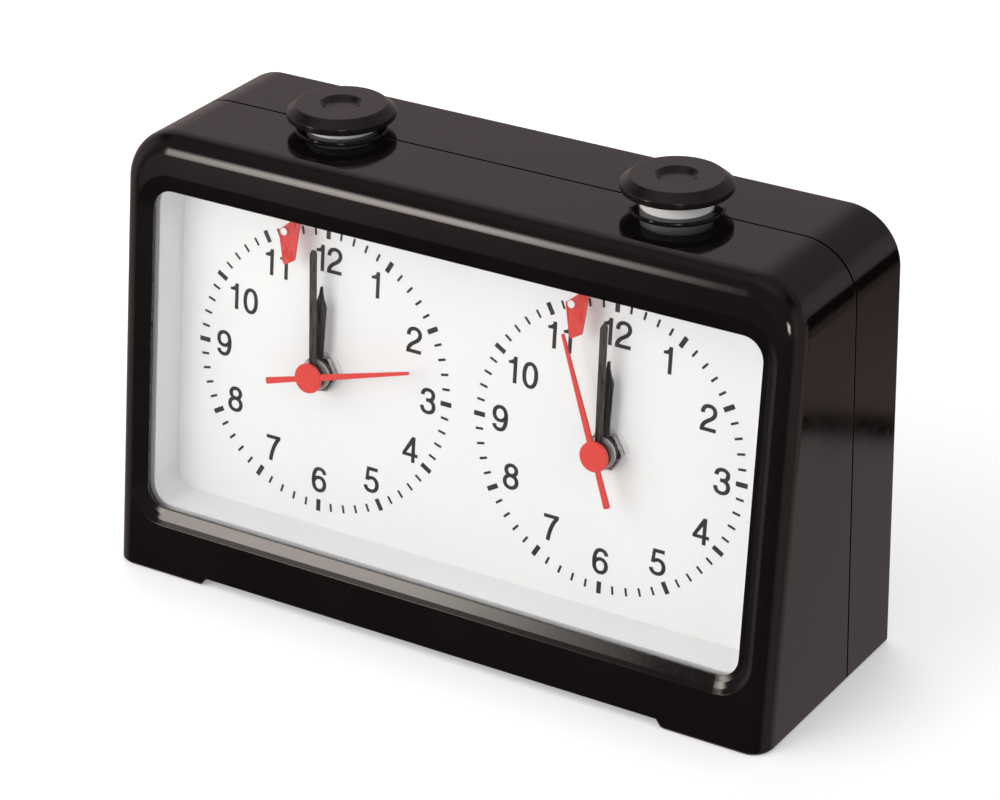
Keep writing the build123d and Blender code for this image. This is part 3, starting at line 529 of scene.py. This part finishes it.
W2, TOP, LOW = DIGIT_W / 2, DIGIT_H - PEN_H / 2, PEN_H / 2
SIX = [stroke(path(
    (3.04, 4.02), ((2.92, 4.74), (2.42, TOP), (1.80, TOP)), ((0.88, TOP), (0.42, 4.15), (0.42, 2.55)),
    ((0.42, 1.14), (0.90, LOW), (1.78, LOW)), ((2.56, LOW), (3.10, 0.94), (3.10, 1.76)),
    ((3.10, 2.62), (2.58, 3.18), (1.82, 3.18)), ((1.12, 3.18), (0.58, 2.72), (0.43, 2.00))))]
FLAG = path((0.55, 4.44), ((1.20, 4.50), (1.62, 4.76), (1.80, DIGIT_H)))
DIGITS = {
    "0": [stroke(ring(W2, DIGIT_H / 2, (DIGIT_W - PEN_V) / 2, (DIGIT_H - PEN_H) / 2, 2.25), closed=True)],
    "1": [bar((1.66, 0.0), (2.48, 0.0), (2.48, DIGIT_H), (1.66, DIGIT_H)),
          (FLAG, [(x, 3.88) for x, y in FLAG], False)],
    "2": [stroke(path(
        (0.45, 3.58), ((0.45, 4.58), (0.98, TOP), (1.78, TOP)), ((2.56, TOP), (3.08, 4.56), (3.08, 3.86)),
        ((3.08, 3.12), (2.56, 2.68), (1.84, 2.24)), ((1.08, 1.76), (0.54, 1.33), (0.47, 0.42)))),
        bar((0.04, 0.0), (3.46, 0.0), (3.46, PEN_H), (0.04, PEN_H))],
    "3": [stroke(path(
        (0.43, 3.86), ((0.45, 4.66), (0.98, TOP), (1.70, TOP)), ((2.42, TOP), (2.92, 4.65), (2.92, 4.04)),
        ((2.92, 3.30), (2.44, 2.93), (1.82, 2.93)), (1.28, 2.93))),
        stroke(path(
            (1.62, 2.93), ((2.54, 2.93), (3.10, 2.42), (3.10, 1.64)), ((3.10, 0.84), (2.54, LOW), (1.72, LOW)),
            ((0.88, LOW), (0.41, 0.86), (0.39, 1.66))))],
    "4": [bar((2.12, 0.0), (2.92, 0.0), (2.92, DIGIT_H), (2.12, DIGIT_H)),
          bar((0.02, 1.22), (3.58, 1.22), (3.58, 1.92), (0.02, 1.92)),
          bar((0.02, 1.80), (0.86, 1.80), (2.66, 4.60), (2.14, DIGIT_H))],
    "5": [bar((0.60, TOP - PEN_H / 2), (3.12, TOP - PEN_H / 2), (3.12, DIGIT_H), (0.60, DIGIT_H)),
          bar((0.28, 2.48), (1.02, 2.66), (1.30, DIGIT_H), (0.60, DIGIT_H)),
          stroke(path(
              (0.66, 2.66), ((0.92, 3.04), (1.32, 3.21), (1.80, 3.21)), ((2.60, 3.21), (3.10, 2.62), (3.10, 1.80)),
              ((3.10, 0.92), (2.54, LOW), (1.70, LOW)), ((0.92, LOW), (0.44, 0.82), (0.38, 1.45))))],
    "6": SIX,
    "7": [bar((0.10, TOP - PEN_H / 2), (3.44, TOP - PEN_H / 2), (3.44, DIGIT_H), (0.10, DIGIT_H)),
          stroke(path((3.04, 4.90), ((2.22, 3.95), (1.48, 2.25), (1.22, 0.0))))],
    "8": [stroke(ring(W2, 3.99, 1.14, DIGIT_H - PEN_H / 2 - 3.99, 2.05), closed=True),
          stroke(ring(W2, (2.90 + LOW) / 2, 1.35, (2.90 - LOW) / 2, 2.1), closed=True)],
    "9": flip(SIX),
}
# digit, and where its middle sits on the dial
NUMERALS = [
    ("1", -1.18, 23.35), ("2", 1.65, 23.35), ("1", 11.90, 20.65), ("2", 20.78, 11.44),
    ("3", 24.64, -0.35), ("4", 21.03, -11.35), ("5", 12.38, -20.15), ("6", -0.05, -23.28),
    ("7", -11.38, -19.34), ("8", -20.92, -11.14), ("9", -24.08, 0.20),
    ("1", -21.35, 10.78), ("0", -17.96, 10.48), ("1", -13.15, 19.80), ("1", -9.70, 19.62),
]
STEM_MID = 2.07


def ink_stroke(bm, left, right, closed, n0, n1):
    """A thin layer over the ribbon between two rows of points on the dial, from n0 to n1 in front of it."""
    rows = [[bm.verts.new(on_dial(x, w, n)) for x, w in side] for n in (n0, n1) for side in (left, right)]
    ll, lr, tl, tr = rows
    count = len(left)
    for i in range(count if closed else count - 1):
        j = (i + 1) % count
        bm.faces.new((tl[i], tr[i], tr[j], tl[j]))
        bm.faces.new((ll[i], ll[j], lr[j], lr[i]))
        bm.faces.new((ll[i], tl[i], tl[j], ll[j]))
        bm.faces.new((lr[i], lr[j], tr[j], tr[i]))
    if not closed:
        bm.faces.new((ll[0], lr[0], tr[0], tl[0]))
        bm.faces.new((ll[-1], tl[-1], tr[-1], lr[-1]))


def add_piece(name, bm, material, body, smooth=False):
    me = bpy.data.meshes.new(name)
    bm.normal_update()
    bm.to_mesh(me)
    bm.free()
    if smooth:
        for p in me.polygons:
            p.use_smooth = True
    ob = bpy.data.objects.new(name, me)
    scene.collection.objects.link(ob)
    me.materials.append(material)
    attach(ob, body)
    return ob


for side, cx in CLOCKS:
    bm = bmesh.new()
    for i in range(60):
        a = math.radians(6 * i)
        half_w, r0, r1 = (0.50, 27.5, 30.0) if i % 5 == 0 else (0.25, 27.9, 29.6)
        s, c = math.sin(a), math.cos(a)
        row = [[(cx + s * r + c * t, c * r - s * t) for r in (r0, r1)] for t in (-half_w, half_w)]
        ink_stroke(bm, row[0], row[1], False, -0.01, INK)
    for digit, x, w in NUMERALS:
        mid = STEM_MID if digit == "1" else W2
        # each stroke lies a hair higher than the one it crosses
        for k, (left, right, closed) in enumerate(DIGITS[digit]):
            rows = [[(cx + x + a - mid, w + b - DIGIT_H / 2) for a, b in row] for row in (left, right)]
            ink_stroke(bm, rows[0], rows[1], closed, -0.01, INK + 0.002 * k)
    bmesh.ops.recalc_face_normals(bm, faces=bm.faces)
    add_piece(side + "_dial_print", bm, M["dial_ink"], "case")

# Tongue of the rear half that closes the parting groove through each foot, a
# millimetre inside the outer face, with a rounded outer end.
for side, sign in (("left", -1), ("right", 1)):
    bm = bmesh.new()
    outline = [(55.6, -0.24)]
    for i in range(9):
        a = math.radians(-90 + 180 * i / 8)
        outline.append((74.0 + 0.24 * math.cos(a), 0.24 * math.sin(a)))
    outline.append((55.6, 0.24))
    rings = []
    for z, pinch in ((0.35, 0.7), (0.50, 1.0), (2.2, 1.0), (3.9, 1.0)):
        y0 = SEAM_Y - SEAM_LEAN * z * MM_TO_M
        rings.append([bm.verts.new((sign * x * MM_TO_M, y0 + y * pinch * MM_TO_M, z * MM_TO_M)) for x, y in outline])
    for lower, upper in zip(rings, rings[1:]):
        for i in range(len(outline)):
            j = (i + 1) % len(outline)
            bm.faces.new((lower[i], lower[j], upper[j], upper[i]))
    bm.faces.new(rings[0][::-1])
    bm.faces.new(rings[-1])
    bmesh.ops.recalc_face_normals(bm, faces=bm.faces)
    add_piece(side + "_seam_tongue", bm, M["case_black"], "case")

# ---------------------------------------------------------------------------
# Stage: pale floor, soft studio light
# ---------------------------------------------------------------------------
floor_mat = Mat("studio_floor", ior=1.4)
floor_mat.rough(floor_mat.noise(0.02, 2.0, 0.5), 0.3, 0.7, 0.75, 0.85)
floor_mat.colour(floor_mat.mix(floor_mat.noise(0.004, 3.0, 0.5), (0.90, 0.90, 0.90), (0.92, 0.92, 0.92)))
floor_mat.p.inputs["Specular IOR Level"].default_value = 0.2
floor_mat.p.inputs["Emission Color"].default_value = (1.0, 1.0, 1.0, 1.0)
floor_mat.p.inputs["Emission Strength"].default_value = 0.26
bpy.ops.mesh.primitive_plane_add(size=12.0, location=(0, 0, 0))
floor = bpy.context.object
floor.name = "studio_floor"
floor.data.materials.append(floor_mat.m)
floor.visible_glossy = False


def softbox(name, direction, distance, width, height, power, colour=(1, 1, 1), target=(0, 0, 0.05)):
    d = bpy.data.lights.new(name, "AREA")
    d.shape = "RECTANGLE"
    d.size = width
    d.size_y = height
    d.energy = power
    d.color = colour
    ob = bpy.data.objects.new(name, d)
    ob.visible_glossy = False
    scene.collection.objects.link(ob)
    at = Vector(target) + Vector(direction).normalized() * distance
    ob.matrix_world = Matrix.Translation(at) @ (Vector(target) - at).to_track_quat("-Z", "Y").to_matrix().to_4x4()
    return ob


softbox("key_wide", (-0.50, -0.70, 0.52), 1.35, 1.5, 1.2, 8.8, (1.0, 0.985, 0.965))
softbox("key_core", (-0.34, -0.88, 0.30), 1.30, 0.85, 0.55, 5.0, (1.0, 0.975, 0.95))
softbox("back_fill", (-0.45, 0.80, 0.40), 1.30, 1.2, 0.8, 7.0, (1.0, 0.99, 0.98))
softbox("side_fill", (0.82, -0.25, 0.50), 1.30, 0.5, 0.5, 2.0, (1.0, 0.98, 0.95))

world = bpy.data.worlds.new("studio")
scene.world = world
world.use_nodes = True
wt = world.node_tree
wt.nodes.clear()
wo = wt.nodes.new("ShaderNodeOutputWorld")
bg = wt.nodes.new("ShaderNodeBackground")
wt.links.new(bg.outputs[0], wo.inputs[0])
tc = wt.nodes.new("ShaderNodeTexCoord")
sx = wt.nodes.new("ShaderNodeSeparateXYZ")
wt.links.new(tc.outputs["Generated"], sx.inputs[0])


def wmap(socket, lo, hi, a, b):
    r = wt.nodes.new("ShaderNodeMapRange")
    r.interpolation_type = "SMOOTHSTEP"
    r.inputs["From Min"].default_value = lo
    r.inputs["From Max"].default_value = hi
    r.inputs["To Min"].default_value = a
    r.inputs["To Max"].default_value = b
    wt.links.new(socket, r.inputs["Value"])
    return r.outputs["Result"]


def wmath(op, a, b):
    n = wt.nodes.new("ShaderNodeMath")
    n.operation = op
    for i, v in enumerate((a, b)):
        if isinstance(v, (int, float)):
            n.inputs[i].default_value = v
        else:
            wt.links.new(v, n.inputs[i])
    return n.outputs[0]


def between(socket, lo, hi, soft):
    return wmath("MULTIPLY", wmap(socket, lo - soft, lo + soft, 0.0, 1.0), wmap(socket, hi - soft, hi + soft, 1.0, 0.0))


# What the gloss mirrors: a pale wall behind the table, dimmer to the right, with a dark gap
# between it and the table's far edge; the table itself; a dim room in front; and two soft
# lamps low in front, one to each side.
X, Y, Z = sx.outputs["X"], sx.outputs["Y"], sx.outputs["Z"]
behind = wmap(Y, 0.02, 0.50, 0.0, 1.0)
wall = wmath("MULTIPLY", wmap(Z, -0.08, -0.02, 0.0, 1.0), wmap(X, -0.40, -0.05, 0.46, 0.27))
rise = wmath("MULTIPLY", between(Z, 0.0, 0.30, 0.06), wmap(X, 0.3, 0.6, 0.0, 0.16))
far_table = wmath("MULTIPLY", wmath("MULTIPLY", wmap(Z, -0.34, -0.24, 1.0, 0.0), wmap(Z, -0.445, -0.40, 0.23, 0.13)), wmap(Z, -0.4485, -0.4445, 0.0, 1.0))
near_table = wmap(Z, -0.455, -0.4495, 0.39, 0.0)
sheen = wmath("MULTIPLY", wmath("ADD", wmath("ADD", wall, rise), wmath("ADD", far_table, near_table)), behind)
# the pale table again, for the back and for the sides seen square on
near_back = wmath("MAXIMUM", wmap(Y, 0.66, 0.76, 1.0, 0.0), wmap(X, 0.25, 0.38, 1.0, 0.0))
near_back = wmath("MULTIPLY", wmath("MULTIPLY", near_back, behind), wmap(Z, -0.12, -0.04, 0.42, 0.0))
square_on = wmap(wmath("ABSOLUTE", X, 0.0), 0.72, 0.92, 0.0, 0.36)
sheen = wmath("MAXIMUM", sheen, wmath("MAXIMUM", near_back, square_on))
overhead = wmap(Z, 0.70, 0.97, 0.0, 0.30)
room = wmath("MULTIPLY", wmap(Y, 0.05, -0.50, 0.0, 1.0), wmap(Z, -0.40, -0.10, 0.04, 0.17))
lamp_left = wmath("MULTIPLY", wmath("MULTIPLY", between(X, -0.570, -0.456, 0.042), wmap(Y, -0.40, -0.60, 0.0, 1.0)), between(Z, -0.10, 0.28, 0.15))
lamp_right = wmath("MULTIPLY", wmath("MULTIPLY", between(X, 0.48, 0.63, 0.05), wmap(Y, -0.55, -0.70, 0.0, 1.0)), between(Z, -0.05, 0.15, 0.07))
lamps = wmath("ADD", wmath("MULTIPLY", lamp_left, 8.6), wmath("MULTIPLY", lamp_right, 13.0))
mirror = wmath("ADD", wmath("ADD", wmath("MAXIMUM", sheen, overhead), room), lamps)
lp = wt.nodes.new("ShaderNodeLightPath")
strength = wt.nodes.new("ShaderNodeMix")
strength.data_type = "FLOAT"
wt.links.new(lp.outputs["Is Glossy Ray"], strength.inputs[0])
strength.inputs[2].default_value = 0.55
wt.links.new(mirror, strength.inputs[3])
wt.links.new(strength.outputs[0], bg.inputs["Strength"])


def wtint(fac, a, b):
    n = wt.nodes.new("ShaderNodeMix")
    n.data_type = "RGBA"
    wt.links.new(fac, n.inputs["Factor"])
    for i, v in ((6, a), (7, b)):
        if isinstance(v, tuple):
            n.inputs[i].default_value = (*v, 1.0)
        else:
            wt.links.new(v, n.inputs[i])
    return n.outputs[2]


warm = wmath("MULTIPLY", between(Z, -0.450, -0.15, 0.002), behind)
glow = wtint(warm, (1.0, 0.82, 0.84), (1.0, 0.74, 0.62))
glow = wtint(wmath("MINIMUM", lamps, 1.0), glow, (1.0, 0.91, 0.83))
wt.links.new(wtint(lp.outputs["Is Glossy Ray"], (1.0, 1.0, 1.0), glow), bg.inputs["Color"])

scene.view_settings.view_transform = "Standard"
scene.view_settings.look = "None"
scene.view_settings.exposure = 0.0
scene.view_settings.gamma = 1.0
